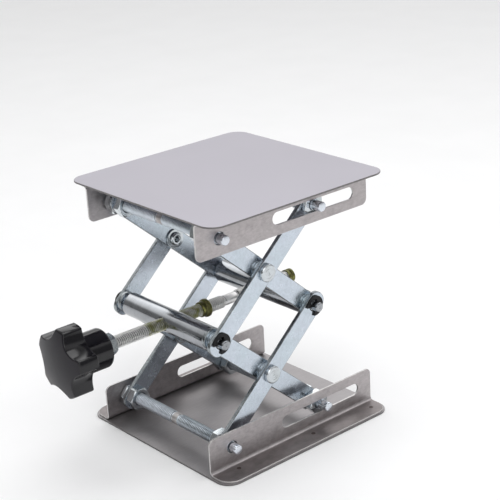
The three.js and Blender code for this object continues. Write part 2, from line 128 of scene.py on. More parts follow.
SCREW_RADIUS = 2.95
SCREW_CORE_RADIUS = 2.4
SCREW_PITCH = 1.0
SCREW_PLAIN_FRONT_Y = -5.7
SCREW_PLAIN_REAR_Y = 1.0
SCREW_NUT_ACROSS_FLATS = 9.0
SCREW_NUT_ANGLE = math.radians(-15)
SCREW_NUT_FRONT_Y = -74.1
SCREW_NUT_REAR_Y = -69.2
COLLAR_HUB_RADIUS = 3.6
COLLAR_HUB_LENGTH = 2.4
COLLAR_FLANGE_RADIUS = 4.3
END_STOP_RADIUS = 3.4

KNOB_LOBES = 5
KNOB_LOBE_ANGLE = math.radians(10)
KNOB_TIP_RADIUS = 15.9
KNOB_TIP_HALF_WIDTH = 2.9
KNOB_VALLEY_RADIUS = 8.7
KNOB_HUB_RADIUS = 9.0
KNOB_STAR_REAR_Y = -87.0
KNOB_FACE_RADIUS = 52.0
KNOB_EDGE = 0.55
KNOB_EDGE_STEPS = 4
KNOB_TIP_STEPS = 14
KNOB_VALLEY_STEPS = 40
KNOB_SMOOTHING = 2
KNOB_BORE_RADIUS = SCREW_CORE_RADIUS + 0.2

# ---------- places from the frame ----------

record = frame["record"]
body_named = {n: body for body, nodes in record["behaviour"]["bodies"].items() for n in nodes}
pivots = {
    joint["name"]: Vector(joint["pos_m"]) / MM for joint in frame["joints"] if "pos_m" in joint
}
lower_front = pivots["lift"]
lower_cross = pivots["lower_scissor"]
front_middle = pivots["front_shaft_pivot"]
rear_middle = pivots["rear_shaft_pivot"]
upper_cross = pivots["upper_scissor"]
upper_front = pivots["platform_pivot"]
lower_rear = Vector((0, rear_middle.y, lower_front.z))
upper_rear = Vector((0, rear_middle.y, upper_front.z))


def box(node):
    """The lowest and highest corner of a CAD node, in millimetres."""
    low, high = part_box(node)
    return low / MM, high / MM


jack_height = box("top_plate")[1].z
bracket_low, bracket_high = box("base_bracket_right")

# ---------- materials ----------


class Recipe:
    """One procedural material. Each texture call adds its nodes and returns an output socket."""

    def __init__(self, name, **constants):
        """A metal or plastic with these constants on its shader."""
        self.material = bpy.data.materials.new(name)
        self.material.use_nodes = True
        self.nodes = self.material.node_tree.nodes
        self.links = self.material.node_tree.links
        self.shader = self.nodes["Principled BSDF"]
        self.place = self.nodes.new("ShaderNodeTexCoord").outputs["Object"]
        for socket, value in constants.items():
            self.shader.inputs[socket.replace("_", " ")].default_value = value

    def add(self, kind, inputs=(), **settings):
        """A node whose inputs are links where they are sockets, and values otherwise."""
        node = self.nodes.new(kind)
        for key, value in settings.items():
            setattr(node, key, value)
        for key, value in dict(inputs).items():
            if isinstance(value, bpy.types.NodeSocket):
                self.links.new(value, node.inputs[key])
            else:
                node.inputs[key].default_value = value
        return node

    def stretched(self, per_mm):
        """Object coordinates scaled to features per millimetre along each axis."""
        scale = [count / MM for count in per_mm]
        mapping = self.add("ShaderNodeMapping", {"Vector": self.place, "Scale": scale})
        return mapping.outputs["Vector"]

    def noise(self, per_mm, detail=4.0, roughness=0.55, distortion=0.0):
        """Noise with this many features per millimetre along each axis."""
        inputs = {
            "Vector": self.stretched(per_mm),
            "Scale": 1.0,
            "Detail": detail,
            "Roughness": roughness,
            "Distortion": distortion,
        }
        return self.add("ShaderNodeTexNoise", inputs).outputs["Fac"]

    def ramp(self, value, *stops):
        """A colour from a value by stops of (position, colour)."""
        node = self.add("ShaderNodeValToRGB", {"Fac": value})
        elements = node.color_ramp.elements
        while len(elements) < len(stops):
            elements.new(0.5)
        for element, (position, colour) in zip(elements, stops):
            element.position = position
            element.color = (*colour, 1.0)
        return node.outputs["Color"]

    def span(self, value, low, high, start=0.3, end=0.7):
        """A value between start and end stretched to run from low to high."""
        inputs = {"Value": value, "From Min": start, "From Max": end, "To Min": low, "To Max": high}
        return self.add("ShaderNodeMapRange", inputs).outputs["Result"]

    def sum_of(self, first, second, share):
        """A mix of two values, with this share of the second."""
        inputs = {"Factor": share, "A": first, "B": second}
        node = self.add("ShaderNodeMix", inputs, data_type="FLOAT")
        return node.outputs["Result"]

    def mixed(self, factor, first, second, how="MIX"):
        """Two colours mixed by a value."""
        node = self.add("ShaderNodeMix", {"Factor": factor}, data_type="RGBA", blend_type=how)
        for socket, value in ((node.inputs[6], first), (node.inputs[7], second)):
            if isinstance(value, bpy.types.NodeSocket):
                self.links.new(value, socket)
            else:
                socket.default_value = (*value, 1.0)
        return node.outputs[2]

    def surface(self, colour, roughness, height, depth_mm, strength=0.5):
        """Joins colour, roughness and a bump of this depth to the shader."""
        inputs = {"Height": height, "Distance": depth_mm * MM, "Strength": strength}
        bump = self.add("ShaderNodeBump", inputs)
        self.links.new(colour, self.shader.inputs["Base Color"])
        self.links.new(roughness, self.shader.inputs["Roughness"])
        self.links.new(bump.outputs["Normal"], self.shader.inputs["Normal"])
        return self.material


def sheet_steel(name, dark, light, roughness, grain, cloud=0.05, contrast=0.5):
    """Rolled sheet: soft cloudy patches under a fine directional grain."""
    recipe = Recipe(name, Metallic=1.0)
    cloudy = recipe.noise((cloud, cloud, cloud), detail=6.0, distortion=0.6)
    grainy = recipe.noise(grain, detail=3.0, roughness=0.7)
    tone = recipe.sum_of(cloudy, grainy, contrast)
    colour = recipe.ramp(tone, (0.32, dark), (0.68, light))
    return recipe.surface(colour, recipe.span(tone, *roughness), grainy, 0.012, 0.35)


def zinc_plate(name, dark, light, roughness, speck=1.3, tint=(0.93, 0.97, 0.95), bump=0.3):
    """Bright zinc plating: cloudy patches, faint green-blue passivation and dull specks."""
    recipe = Recipe(name, Metallic=1.0)
    specks = recipe.noise((speck, speck, speck), detail=2.0)
    mottle = recipe.noise((0.3, 0.3, 0.3), detail=5.0, roughness=0.6)
    tone = recipe.sum_of(mottle, specks, 0.4)
    plated = recipe.ramp(tone, (0.36, dark), (0.56, light))
    haze = recipe.span(recipe.noise((0.06, 0.06, 0.06), detail=3.0), 0.0, 1.0)
    colour = recipe.mixed(haze, plated, tint, "MULTIPLY")
    return recipe.surface(colour, recipe.span(mottle, *roughness), tone, 0.02, bump)


def stained_zinc(name, dark, light, stain, stretch):
    """Bright zinc with an olive chromate stain along this stretch of Y, in metres."""
    recipe = Recipe(name, Metallic=1.0)
    mottle = recipe.noise((0.4, 0.4, 0.4), detail=5.0)
    plated = recipe.ramp(mottle, (0.36, dark), (0.6, light))
    along = recipe.add("ShaderNodeSeparateXYZ", {"Vector": recipe.place}).outputs["Y"]
    near, far = stretch
    middle, half = (near + far) / 2, (far - near) / 2
    off = recipe.add("ShaderNodeMath", {0: along, 1: middle}, operation="SUBTRACT").outputs[0]
    distance = recipe.add("ShaderNodeMath", {0: off}, operation="ABSOLUTE").outputs[0]
    cover = recipe.span(distance, 1.0, 0.0, half - 0.002, half + 0.001)
    patchy = recipe.add("ShaderNodeMath", {0: cover, 1: mottle}, operation="MULTIPLY").outputs[0]
    colour = recipe.mixed(recipe.span(patchy, 0.0, 0.9, 0.36, 0.6), plated, stain)
    return recipe.surface(colour, recipe.span(mottle, 0.34, 0.44), mottle, 0.02, 0.02)


def turned_steel(name, dark, light, roughness, rings):
    """A turned bar: fine rings left by the tool, and faint stains."""
    recipe = Recipe(name, Metallic=1.0)
    lines = recipe.noise(rings, detail=4.0, roughness=0.75)
    stain = recipe.noise((0.12, 0.12, 0.12), detail=5.0)
    tone = recipe.sum_of(lines, stain, 0.55)
    colour = recipe.ramp(tone, (0.3, dark), (0.62, light))
    return recipe.surface(colour, recipe.span(tone, *roughness), lines, 0.006, 0.3)


def yellow_zinc():
    """Chromated zinc: olive with yellow and brownish patches."""
    recipe = Recipe("yellow_zinc", Metallic=1.0)
    patches = recipe.noise((0.5, 0.5, 0.5), detail=5.0, distortion=1.0)
    olive, yellow, brown = (0.09, 0.1, 0.03), (0.36, 0.37, 0.12), (0.12, 0.11, 0.05)
    colour = recipe.ramp(patches, (0.3, olive), (0.5, brown), (0.68, yellow))
    return recipe.surface(colour, recipe.span(patches, 0.28, 0.45), patches, 0.02, 0.4)


def black_oxide():
    """Blackened spring steel: nearly black, with faint worn patches."""
    recipe = Recipe("clip_black", Metallic=0.6)
    patches = recipe.noise((1.4, 1.4, 1.4), detail=5.0)
    colour = recipe.ramp(patches, (0.3, (0.006, 0.006, 0.007)), (0.75, (0.03, 0.03, 0.032)))
    return recipe.surface(colour, recipe.span(patches, 0.35, 0.6), patches, 0.02, 0.4)


def black_plastic(name, dark, light, roughness, specular):
    """Moulded black plastic: fine grain with faint flow marks and handling haze."""
    recipe = Recipe(name, Specular_IOR_Level=specular)
    grain = recipe.noise((5.0, 5.0, 5.0), detail=3.0)
    haze = recipe.noise((0.09, 0.09, 0.09), detail=6.0, distortion=0.8)
    colour = recipe.ramp(haze, (0.3, dark), (0.75, light))
    return recipe.surface(colour, recipe.span(haze, *roughness), grain, 0.015, 0.2)


platform_top = sheet_steel(
    "platform_top", (0.405, 0.39, 0.432), (0.425, 0.41, 0.452), (0.40, 0.44), (2.2, 0.12, 2.2),
    cloud=0.02, contrast=0.3,
)
base_steel = sheet_steel(
    "base_steel", (0.30, 0.286, 0.29), (0.42, 0.402, 0.408), (0.46, 0.58), (2.4, 0.14, 2.4),
)
# Level faces of the brackets: a darker copy of the bracket steel, painted shade.
shaded_foot_steel = sheet_steel(
    "shaded_foot_steel", (0.20, 0.183, 0.182), (0.31, 0.283, 0.283), (0.42, 0.54), (0.4, 0.14, 2.4),
    cloud=0.2,
)
bracket_steel = sheet_steel(
    "bracket_steel", (0.34, 0.317, 0.32), (0.53, 0.498, 0.503), (0.34, 0.5), (1.6, 0.5, 1.6),
    cloud=0.3,
)
# Bracket rims: a lighter copy of the bracket steel, painted highlight along the edges.
bracket_edge_highlight = sheet_steel(
    "bracket_edge_highlight", (0.46, 0.445, 0.44), (0.68, 0.665, 0.66), (0.30, 0.45), (0.8, 0.8, 0.8),
    cloud=0.3,
)
# Plate rims: a darker copy of the plate steel, painted shade along the edges.
plate_edge_shade = sheet_steel(
    "plate_edge_shade", (0.14, 0.135, 0.135), (0.26, 0.25, 0.25), (0.35, 0.5), (0.8, 0.8, 0.8),
    cloud=0.3,
)
weld_scorch = sheet_steel(
    "weld_scorch", (0.05, 0.04, 0.04), (0.16, 0.13, 0.12), (0.4, 0.6), (1.5, 1.5, 1.5),
    cloud=0.6,
)
zinc_arm = zinc_plate(
    "zinc_arm", (0.51, 0.555, 0.62), (0.59, 0.64, 0.715), (0.2, 0.3), speck=0.8, bump=0.05,
)
# Arm rims: a darker copy of the arm zinc, painted shade along the edges.
zinc_edge_shade = zinc_plate("zinc_edge_shade", (0.16, 0.17, 0.18), (0.34, 0.36, 0.38), (0.16, 0.3))
rod_zinc = zinc_plate(
    "rod_zinc", (0.53, 0.56, 0.61), (0.61, 0.645, 0.70), (0.28, 0.36), speck=0.3, bump=0.02,
)
rod_dull = zinc_plate(
    "rod_dull", (0.40, 0.37, 0.37), (0.52, 0.49, 0.49), (0.4, 0.5), speck=0.3, bump=0.05,
)
nut_zinc = zinc_plate(
    "nut_zinc", (0.50, 0.52, 0.54), (0.60, 0.63, 0.66), (0.12, 0.18), speck=0.5, bump=0.03,
)
# Thread roots: near-black zinc, painted shadow in the grooves.
thread_root_shadow = zinc_plate(
    "thread_root_shadow", (0.02, 0.02, 0.02), (0.05, 0.05, 0.05), (0.5, 0.6), speck=0.3,
)
bright_shaft = turned_steel(
    "bright_shaft", (0.27, 0.28, 0.295), (0.38, 0.395, 0.415), (0.10, 0.20), (2.5, 0.03, 0.03),
)
tip_steel = turned_steel(
    "tip_steel", (0.55, 0.58, 0.63), (0.74, 0.78, 0.84), (0.16, 0.26), (3.0, 0.1, 0.1),
)
screw_zinc = stained_zinc(
    "screw_zinc", (0.74, 0.74, 0.73), (0.81, 0.81, 0.80), (0.34, 0.345, 0.15), (-0.053, -0.018),
)
chromate = yellow_zinc()
clip_black = black_oxide()
# The knob's plastic in two copies: glossier sides darkened as painted shade, and a lighter face as
# painted light.
shaded_gloss_plastic = black_plastic(
    "shaded_gloss_plastic", (0.003, 0.0028, 0.004), (0.007, 0.0065, 0.009), (0.1, 0.15), 0.45,
)
lit_face_plastic = black_plastic(
    "lit_face_plastic", (0.0075, 0.0062, 0.0098), (0.0135, 0.0115, 0.0172), (0.3, 0.4), 0.3,
)

# ---------- meshes ----------


def attach(mesh, node, *materials):
    """Puts a mesh on the body of a CAD node, with these materials."""
    piece = bpy.data.objects.new(f"{mesh.name.split('.')[0]}_fine", mesh)
    bpy.context.scene.collection.objects.link(piece)
    for material in materials:
        mesh.materials.append(material)
    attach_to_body(piece, body_named[node])
    return piece


def show(node, mesh, *materials):
    """Shows a mesh in place of a CAD node."""
    piece = attach(mesh, node, *materials)
    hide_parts(node)
    return piece


def to_mesh(name, shape, sharp_angle=None):
    """Turns a bmesh in millimetres into a mesh in metres with its faces outward."""
    bmesh.ops.recalc_face_normals(shape, faces=shape.faces)
    if shape.calc_volume(signed=True) < 0:
        bmesh.ops.reverse_faces(shape, faces=shape.faces)
    bmesh.ops.scale(shape, vec=(MM, MM, MM), verts=shape.verts)
    mesh = bpy.data.meshes.new(name)
    shape.to_mesh(mesh)
    shape.free()
    if sharp_angle is not None:
        mesh.set_sharp_from_angle(angle=sharp_angle)
    return mesh


def loft(name, rings, closed=False, sharp_angle=math.radians(38)):
    """Skins a row of rings. A ring of one point is a pole, and closed joins last to first."""
    shape = bmesh.new()
    rows = [[shape.verts.new(point) for point in points] for points in rings]
    for first, second in zip(rows, rows[1:] + rows[:1] if closed else rows[1:]):
        skin(shape, first, second)
    for face in shape.faces:
        face.smooth = True
    return to_mesh(name, shape, sharp_angle)


def filleted(profile, radius, steps=3):
    """The profile with each inner corner rounded by an arc-like curve."""
    points = [Vector(point) for point in profile]
    result = [points[0]]
    for before, corner, after in zip(points, points[1:], points[2:]):
        back, ahead = before - corner, after - corner
        reach = min(radius, back.length * 0.45, ahead.length * 0.45)
        start = corner + back.normalized() * reach
        end = corner + ahead.normalized() * reach
        for i in range(steps + 1):
            t = i / steps
            result.append(start * (1 - t) ** 2 + corner * 2 * t * (1 - t) + end * t**2)
    return result + [points[-1]]


def around(axis, centre, along, radius, angle):
    """A point at this distance along an X or Y axis through centre, and this far round it.

    The angle runs from Y to Z about the X axis, which is positive, and from X to Z about the Y
    axis, which is negative.
    """
    across, up = radius * math.cos(angle), radius * math.sin(angle)
    if axis == "X":
        return Vector((centre.x + along, centre.y + across, centre.z + up))
    return Vector((centre.x + across, centre.y + along, centre.z + up))


def turned(name, profile, centre, axis="X", steps=56, closed=False, fillet=0.12):
    """A turned piece: the profile lists (distance along the axis, radius)."""
    points = filleted([*profile, profile[0]] if closed else profile, fillet)
    if closed:
        points = points[:-1]
    return loft(name, [ring(centre, axis, *point, steps) for point in points], closed)


def ring(centre, axis, along, radius, steps):
    """Points round an axis, or a single point on it when the radius is nothing."""
    if radius < 1e-6:
        return [around(axis, centre, along, 0, 0)]
    return [around(axis, centre, along, radius, TURN * i / steps) for i in range(steps)]


def skin(shape, first, second):
    """Faces between two rows of vertices. A row of one vertex is a pole."""
    count = max(len(first), len(second))
    for i in range(count):
        j = (i + 1) % count
        corners = []
        for row, order in ((first, (i, j)), (second, (j, i))):
            corners += [row[k] for k in order] if len(row) > 1 else [row[0]]
        shape.faces.new(corners)


def add_thread(shape, centre, axis, start, end, crest, core, pitch, hand, steps, index):
    """A helical thread between two round rows, which it returns. The ridge fades at both ends.

    The roots get the material of this index. As the angle of around() does, a hand of 1 differs
    with the axis: it makes a right-hand thread along X and a left-hand thread along Y.
    """
    turns = round((end - start) / pitch) - 1
    last = steps * turns - 1
    lead = 0.1 * pitch
    true_pitch = (end - start - 2 * lead) / (last / steps + 1)
    columns = len(THREAD_FORM)

    def corner(n, part, height):
        fade = min(1.0, 2 * n / steps, 2 * (last - n) / steps)
        along = start + lead + true_pitch * (n / steps + part)
        radius = core + (crest - core) * height * fade
        return shape.verts.new(around(axis, centre, along, radius, hand * TURN * n / steps))

    grid = [[corner(n, *point) for point in THREAD_FORM] for n in range(last + 1)]
    for n, row in enumerate(grid):
        row.append(grid[n + steps][0] if n + steps <= last else corner(n, 1.0, 0.0))
    for row, following in zip(grid, grid[1:]):
        for j in range(columns):
            face = shape.faces.new((row[j], following[j], following[j + 1], row[j + 1]))
            # The root faces take the painted-shadow material.
            face.material_index = index if j == columns - 1 else 0
    rows = []
    for along in (start, end):
        points = [around(axis, centre, along, core, hand * TURN * i / steps) for i in range(steps)]
        rows.append([shape.verts.new(point) for point in points])
    head, tail = rows
    final = grid[-steps:]
    for i in range(steps - 1):
        shape.faces.new((head[i], head[i + 1], grid[i + 1][0], grid[i][0]))
        shape.faces.new((final[i][-1], final[i + 1][-1], tail[i + 1], tail[i]))
    shape.faces.new((head[-1], head[0], *grid[0], grid[steps - 1][0]))
    shape.faces.new((tail[-1], tail[0], final[0][-1], *grid[-1]))
    if hand > 0:
        return head, tail
    return [head[0], *head[:0:-1]], [tail[0], *tail[:0:-1]]


def threaded_bar(name, centre, axis, sections, steps=32):
    """A bar of plain and threaded sections in order along an axis.

    A plain section is a list of (along, radius); a threaded one is the values of add_thread from
    its start to its hand.
    """
    shape = bmesh.new()
    before = None
    for section in sections:
        if isinstance(section, tuple):
            head, tail = add_thread(shape, centre, axis, *section, steps, 1)
            skin(shape, before, head)
            before = tail
            continue
        for along, radius in section:
            row = [shape.verts.new(point) for point in ring(centre, axis, along, radius, steps)]
            if before:
                skin(shape, before, row)
            before = row
    for face in shape.faces:
        face.smooth = True
    return to_mesh(name, shape, math.radians(40))


def arc(x, y, radius, start, end, steps):
    """Points on an arc from start to end."""
    return [
        Vector((x + radius * math.cos(a), y + radius * math.sin(a)))
        for a in (start + (end - start) * i / steps for i in range(steps + 1))
    ]


def rounded_rectangle(width, height, radius, steps=12):
    """A rectangle about the origin with rounded corners, anticlockwise."""
    x, y = width / 2 - radius, height / 2 - radius
    points = []
    for i, (sx, sy) in enumerate(((1, -1), (1, 1), (-1, 1), (-1, -1))):
        points += arc(sx * x, sy * y, radius, (i - 1) * QUARTER, i * QUARTER, steps)
    return points


def circle(x, y, radius, steps=40):
    """Evenly spaced points round a circle, anticlockwise."""
    return arc(x, y, radius, 0, TURN * (steps - 1) / steps, steps - 1)


def outward(points, i):
    """The outward direction at a corner of a loop that runs anticlockwise."""
    back = (points[i] - points[i - 1]).normalized()
    ahead = (points[(i + 1) % len(points)] - points[i]).normalized()
    way = back + ahead
    return Vector((way.y, -way.x)).normalized()


def sheet(name, outline, holes, thickness, edge, place, cuts=(), side_index=0, bend=None):
    """A flat sheet with rounded edges and holes, drawn in two axes and put in place by a function.

    Cuts are distances along the first axis where the sheet is divided so that it can bend there.
    """
    shape = bmesh.new()
    levels = []
    for i in range(SHEET_EDGE_STEPS + 1):
        turn = QUARTER * i / SHEET_EDGE_STEPS
        levels.append((edge * (1 - math.sin(turn)), edge * (1 - math.cos(turn))))
    levels += [(inset, thickness - depth) for inset, depth in reversed(levels)]
    rims = ([], [])
    for loop, side in [(outline, 1), *((hole, -1) for hole in holes)]:
        ways = [outward(loop, i) * side for i in range(len(loop))]
        rows = [
            [shape.verts.new((*(p - way * inset), height)) for p, way in zip(loop, ways)]
            for inset, height in levels
        ]
        for first, second in zip(rows, rows[1:]):
            for i in range(len(loop)):
                j = (i + 1) % len(loop)
                face = shape.faces.new((first[i], first[j], second[j], second[i]))
                face.smooth = True
                face.material_index = side_index
        for rim, row in zip(rims, (rows[0], rows[-1])):
            rim.append(row)
    for rim in rims:
        corners = [vert for row in rim for vert in row]
        for triangle in tessellate_polygon([[vert.co for vert in row] for row in rim]):
            shape.faces.new([corners[i] for i in triangle])
    for cut in cuts:
        everything = [*shape.verts, *shape.edges, *shape.faces]
        bmesh.ops.bisect_plane(shape, geom=everything, plane_co=(cut, 0, 0), plane_no=(1, 0, 0))
    if bend:
        for face in shape.faces:
            centre = face.calc_center_median()
            face.smooth = face.smooth or bend[0] < centre.x < bend[1]
    for vert in shape.verts:
        vert.co = place(vert.co)
    return to_mesh(name, shape)


# ---------- plates and brackets ----------


def add_plate(node, material):
    """A flat plate with rounded corners that fills its CAD box."""
    low, high = box(node)
    middle = (low + high) / 2
    outline = rounded_rectangle(high.x - low.x, high.y - low.y, PLATE_CORNER)
    # The rim takes the darker edge steel: painted shade.
    mesh = sheet(
        node, outline, [], high.z - low.z, SHEET_EDGE,
        lambda p: Vector((middle.x + p.x, middle.y + p.y, low.z + p.z)), side_index=1,
    )
    show(node, mesh, material, plate_edge_shade)


def folded(s, height, foot_outer):
    """Where a point of the flat bracket goes in (X, Z) once the sheet is folded.

    s runs from the foot's outer edge to the wall's top edge; height is up through the sheet.
    """
    foot_flat = foot_outer - (WALL_OUTER_X + BEND_RADIUS)
    if s <= foot_flat:
        return foot_outer - s, SHEET + height
    centre_x, centre_z = WALL_OUTER_X + BEND_RADIUS, 2 * SHEET + BEND_RADIUS
    radius = BEND_RADIUS + SHEET - height
    turn = (s - foot_flat) / BEND_LENGTH * QUARTER
    if turn <= QUARTER:
        return centre_x - radius * math.sin(turn), centre_z - radius * math.cos(turn)
    return centre_x - radius, centre_z + (s - foot_flat - BEND_LENGTH)


def bracket_outline(fold_end):
    """The flat bracket in (s, Y), with rounded corners at the foot and at the wall's top."""
    top = fold_end + bracket_high.z - (2 * SHEET + BEND_RADIUS)
    half = (bracket_high.y - bracket_low.y) / 2
    wall_s, wall_y = top - BRACKET_CORNER, half - BRACKET_CORNER
    foot_s, foot_y = FOOT_CORNER, half - FOOT_CORNER
    return [
        *arc(wall_s, wall_y, BRACKET_CORNER, 0, QUARTER, 10),
        *arc(foot_s, foot_y, FOOT_CORNER, QUARTER, 2 * QUARTER, 10),
        *arc(foot_s, -foot_y, FOOT_CORNER, 2 * QUARTER, 3 * QUARTER, 10),
        *arc(wall_s, -wall_y, BRACKET_CORNER, 3 * QUARTER, TURN, 10),
    ]


def add_bracket(level, side):
    """A folded bracket with a rod hole, a slot and a rolled bend."""
    node = f"{level}_bracket_{side}"
    foot_outer = max(abs(corner.x) for corner in box(node))
    foot_flat = foot_outer - (WALL_OUTER_X + BEND_RADIUS)
    fold_end = foot_flat + BEND_LENGTH
    hole_s = fold_end - (2 * SHEET + BEND_RADIUS) + lower_front.z
    slot_end = SLOT_HEIGHT / 2
    hole = circle(hole_s, lower_front.y, WALL_HOLE_RADIUS)
    slot = arc(hole_s, SLOT_REAR_Y - slot_end, slot_end, 0, 2 * QUARTER, 16)
    slot += arc(hole_s, SLOT_FRONT_Y + slot_end, slot_end, 2 * QUARTER, TURN, 16)

    def place(p):
        x, z = folded(p.x, p.z, foot_outer)
        return Vector((SIDES[side] * x, p.y, z if level == "base" else jack_height - z))

    cuts = [foot_flat + BEND_LENGTH * i / BEND_STEPS for i in range(BEND_STEPS + 1)]
    # The rims take the lighter edge steel: painted highlight.
    mesh = sheet(
        node, bracket_outline(fold_end), [hole, slot], SHEET, SHEET_EDGE, place, cuts,
        side_index=1, bend=(foot_flat, fold_end),
    )
    # Level faces take the darker copy of the steel: painted shade.
    for polygon in mesh.polygons:
        if polygon.material_index == 0 and abs(polygon.normal.z) > 0.9:
            polygon.material_index = 2
    show(node, mesh, bracket_steel, bracket_edge_highlight, shaded_foot_steel)


def add_weld_marks(node, surface_z, material):
    """Shallow ringed dimples left by the spot-welding tips."""
    low, high = box(node)
    side = low.x + high.x
    profile = [
        (0.005, 0), (0.005, WELD_RADIUS * 0.55), (0.045, WELD_RADIUS * 0.8),
        (0.03, WELD_RADIUS), (-0.1, WELD_RADIUS), (-0.1, 0),
    ]
    for number, (x, y) in enumerate(WELDS):
        spot = Vector((math.copysign(x, side), y))
        rings = []
        for height, radius in profile:
            points = circle(*spot, radius, WELD_STEPS) if radius else [spot]
            rings.append([Vector((*point, surface_z + height)) for point in points])
        attach(loft(f"{node}_weld_{number}", rings), node, material)


def add_plates():
    """Both plates, their side brackets and the weld marks on the base."""
    add_plate("base_plate", base_steel)
    add_plate("top_plate", platform_top)
    for side in SIDES:
        for level in ("base", "top"):
            add_bracket(level, side)
        add_weld_marks(f"base_bracket_{side}", 2 * SHEET, weld_scorch)


# ---------- arms, rivets and washers ----------


def add_arms(name, start, end):
    """A left and a right arm, each a bar with a hole at both ends and the middle."""
    span = end - start
    way = span.normalized()
    across = Vector((0, -way.z, way.y))
    middle = (start + end) / 2
    outline = rounded_rectangle(span.length + 2 * ARM_END, ARM_WIDTH, ARM_CORNER)
    half = span.length / 2
    holes = [circle(along, 0, PIVOT_HOLE_RADIUS) for along in (-half, 0, half)]
    for side in SIDES:
        low, high = box(f"{name}_{side}")

        def place(p):
            spot = middle + way * p.x + across * p.y
            return Vector((low.x + p.z, spot.y, spot.z))

        node = f"{name}_{side}"
        # The rims take the darker edge zinc: painted shade.
        mesh = sheet(node, outline, holes, high.x - low.x, ARM_EDGE, place, side_index=1)
        show(node, mesh, zinc_arm, zinc_edge_shade)


def add_washer(node, centre):
    """A washer or spacer that fills its CAD box round a joint."""
    low, high = box(node)
    profile = [
        (low.x, PIVOT_HOLE_RADIUS), (low.x, WASHER_RADIUS),
        (high.x, WASHER_RADIUS), (high.x, PIVOT_HOLE_RADIUS),
    ]
    place = Vector((0, centre.y, centre.z))
    show(node, turned(node, profile, place, closed=True, fillet=0.15), nut_zinc)


def add_rivets(level, centre):
    """The crossing rivets of one pair of arms, with their spacers and washers."""
    for side, sign in SIDES.items():
        node = f"{level}_rivet_{side}"
        roll_x, head_x = sorted(abs(corner.x) for corner in box(node))
        arm_face = max(abs(corner.x) for corner in box(f"{level}_outer_arm_{side}"))
        washer_face = min(abs(corner.x) for corner in box(f"{level}_rivet_washer_{side}"))
        seat = arm_face + 0.1
        profile = [
            (roll_x + RIVET_BORE_DEPTH, 0), (roll_x + RIVET_BORE_DEPTH, RIVET_BORE_RADIUS),
            (roll_x + 0.5, RIVET_BORE_RADIUS), (roll_x + 0.05, RIVET_BORE_RADIUS + 0.35),
            (roll_x, RIVET_ROLL_RADIUS - 0.9), (roll_x + 0.45, RIVET_ROLL_RADIUS - 0.1),
            (washer_face - 0.2, RIVET_ROLL_RADIUS), (washer_face - 0.1, RIVET_SHANK_RADIUS),
            (seat, RIVET_SHANK_RADIUS), (seat, RIVET_HEAD_RADIUS - 0.2),
            (seat + 0.25, RIVET_HEAD_RADIUS), (head_x - 0.45, RIVET_HEAD_RADIUS),
            (head_x - 0.05, RIVET_HEAD_RADIUS - 0.5), (head_x, RIVET_HEAD_RADIUS - 0.9),
            (head_x, 2.3), (head_x - 0.07, 2.15), (head_x, 2.0), (head_x, 1.1),
            (head_x - 0.05, 1.0), (head_x - 0.05, 0.42), (head_x - 0.3, 0.3), (head_x - 0.32, 0),
        ]
        profile = [(sign * along, radius) for along, radius in profile]
        place = Vector((0, centre.y, centre.z))
        show(node, turned(node, profile, place, fillet=0.1), nut_zinc)
        add_washer(f"{level}_rivet_spacer_{side}", centre)
        add_washer(f"{level}_rivet_washer_{side}", centre)


# ---------- rods and nuts ----------


def add_rod(node, journal_x, centre):
    """A rod threaded from both ends towards a short plain middle, with thinner ends outside."""
    tip_x = box(node)[1].x
    shoulder = tip_x - ROD_TIP_LENGTH
    place = Vector((0, centre.y, centre.z))
    tip = [
        (tip_x, 0), (tip_x, ROD_TIP_RADIUS - 0.45), (tip_x - 0.12, ROD_TIP_RADIUS - 0.18),
        (tip_x - 0.4, ROD_TIP_RADIUS), (shoulder, ROD_TIP_RADIUS), (shoulder, ROD_JOURNAL_RADIUS),
        (journal_x, ROD_JOURNAL_RADIUS), (journal_x, ROD_RADIUS - 0.2),
        (journal_x - 0.2, ROD_RADIUS), (journal_x - 0.4, ROD_CORE_RADIUS),
    ]
    form = (ROD_RADIUS, ROD_CORE_RADIUS, ROD_PITCH, 1)
    middle = [(-ROD_PLAIN_HALF + 0.3, ROD_RADIUS - 0.1), (ROD_PLAIN_HALF - 0.3, ROD_RADIUS - 0.1)]
    mesh = threaded_bar(node, place, "X", [
        [(-along, radius) for along, radius in tip],
        (-journal_x + 0.6, -ROD_PLAIN_HALF, *form),
        middle,
        (ROD_PLAIN_HALF, journal_x - 0.6, *form),
        tip[::-1],
    ])
    for polygon in mesh.polygons:
        if abs(polygon.center.x) > shoulder * MM:
            polygon.material_index = 2
        if abs(polygon.center.x) < ROD_PLAIN_HALF * MM:
            polygon.material_index = 3
    show(node, mesh, rod_zinc, thread_root_shadow, tip_steel, rod_dull)


def nut_rings(axis, low, high, centre, across_flats, bore, twist):
    """Rings of a hexagon nut whose corners are cut back by a cone at both faces."""
    flat = across_flats / 2
    face_radius = flat * NUT_FACE_SHARE

    def row(along, radius):
        return [
            around(axis, centre, along(i), radius(i), TURN * i / NUT_STEPS + twist)
            for i in range(NUT_STEPS)
        ]

    def hexagon(i):
        angle = (TURN * i / NUT_STEPS) % (TURN / 6) - TURN / 12
        return flat / math.cos(angle)

    def set_back(i):
        """How far the cone cuts into the corner at this point of the hexagon."""
        return (hexagon(i) - face_radius) * NUT_CHAMFER_SLOPE

    return [
        row(lambda i: low + NUT_LEAD, lambda i: bore),
        row(lambda i: low, lambda i: bore + NUT_LEAD),
        row(lambda i: low, lambda i: face_radius),
        row(lambda i: low + set_back(i), hexagon),
        row(lambda i: high - set_back(i), hexagon),
        row(lambda i: high, lambda i: face_radius),
        row(lambda i: high, lambda i: bore + NUT_LEAD),
        row(lambda i: high - NUT_LEAD, lambda i: bore),
    ]


